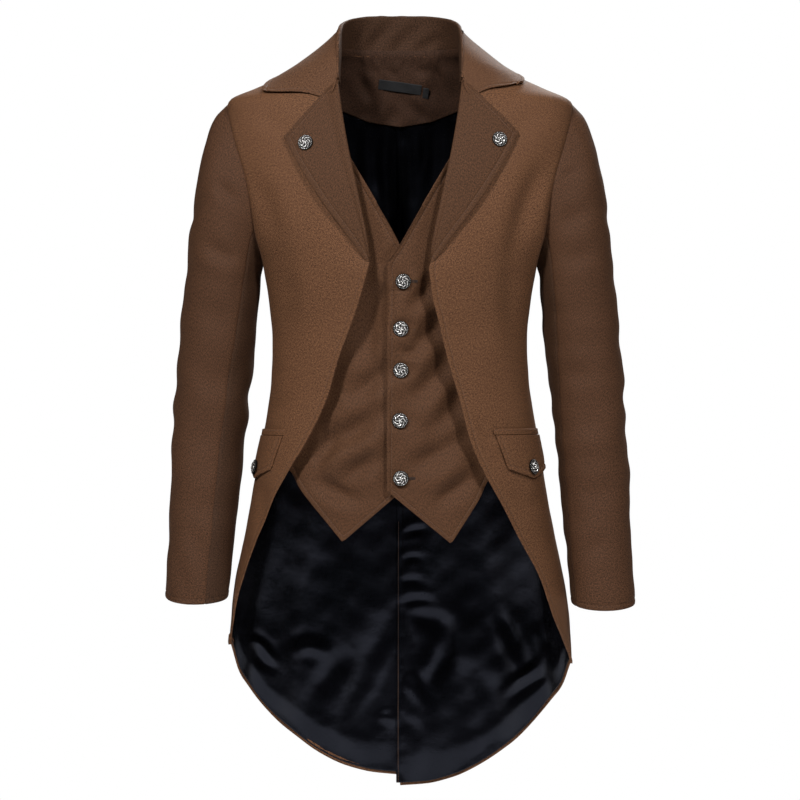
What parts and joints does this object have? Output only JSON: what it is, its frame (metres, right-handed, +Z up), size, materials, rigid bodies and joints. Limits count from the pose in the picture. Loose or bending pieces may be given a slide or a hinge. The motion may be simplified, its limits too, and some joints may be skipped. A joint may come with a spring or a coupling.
{
  "type": "tailcoat",
  "caption": "Worn, hollow cutaway tailcoat with a folded collar, notched lapels, a pointed waistcoat front, flap pockets, metal buttons and a satin-lined tail.",
  "frame": {"origin": "middle of the neck opening between the shoulder seams, where the wearer's shoulders carry the coat", "axes": "+Z up, the fronts and buttons face -Y, +X is the wearer's left"},
  "size_m": [0.5967, 0.2744, 1.0072],
  "materials": {
    "suiting": "brown fine twill suiting, matt with a faint sheen",
    "facing_cloth": "the same brown twill inside the neck",
    "lining_satin": "black satin lining with soft sheen",
    "woven_label": "bare black woven ribbon",
    "button_metal": "antiqued silver, darkened in the engraving"
  },
  "bodies": {
    "root": {"coat_front_left": "suiting", "coat_back_left": "suiting", "sleeve_top_left": "suiting", "sleeve_under_left": "suiting", "lapel_left": "suiting", "waistcoat_left": "suiting", "pocket_welt_left": "suiting", "pocket_flap_left": "suiting", "coat_front_right": "suiting", "coat_back_right": "suiting", "sleeve_top_right": "suiting", "sleeve_under_right": "suiting", "lapel_right": "suiting", "waistcoat_right": "suiting", "pocket_welt_right": "suiting", "pocket_flap_right": "suiting", "collar": "suiting", "lining_left": "lining_satin", "lining_right": "lining_satin", "neck_facing": "facing_cloth", "label": "woven_label", "size_tab": "woven_label", "button_lapel_left": "button_metal", "button_lapel_right": "button_metal", "button_pocket_left": "button_metal", "button_pocket_right": "button_metal", "button_waistcoat_1": "button_metal", "button_waistcoat_2": "button_metal", "button_waistcoat_3": "button_metal", "button_waistcoat_4": "button_metal", "button_waistcoat_5": "button_metal"}
  },
  "joints": []
}
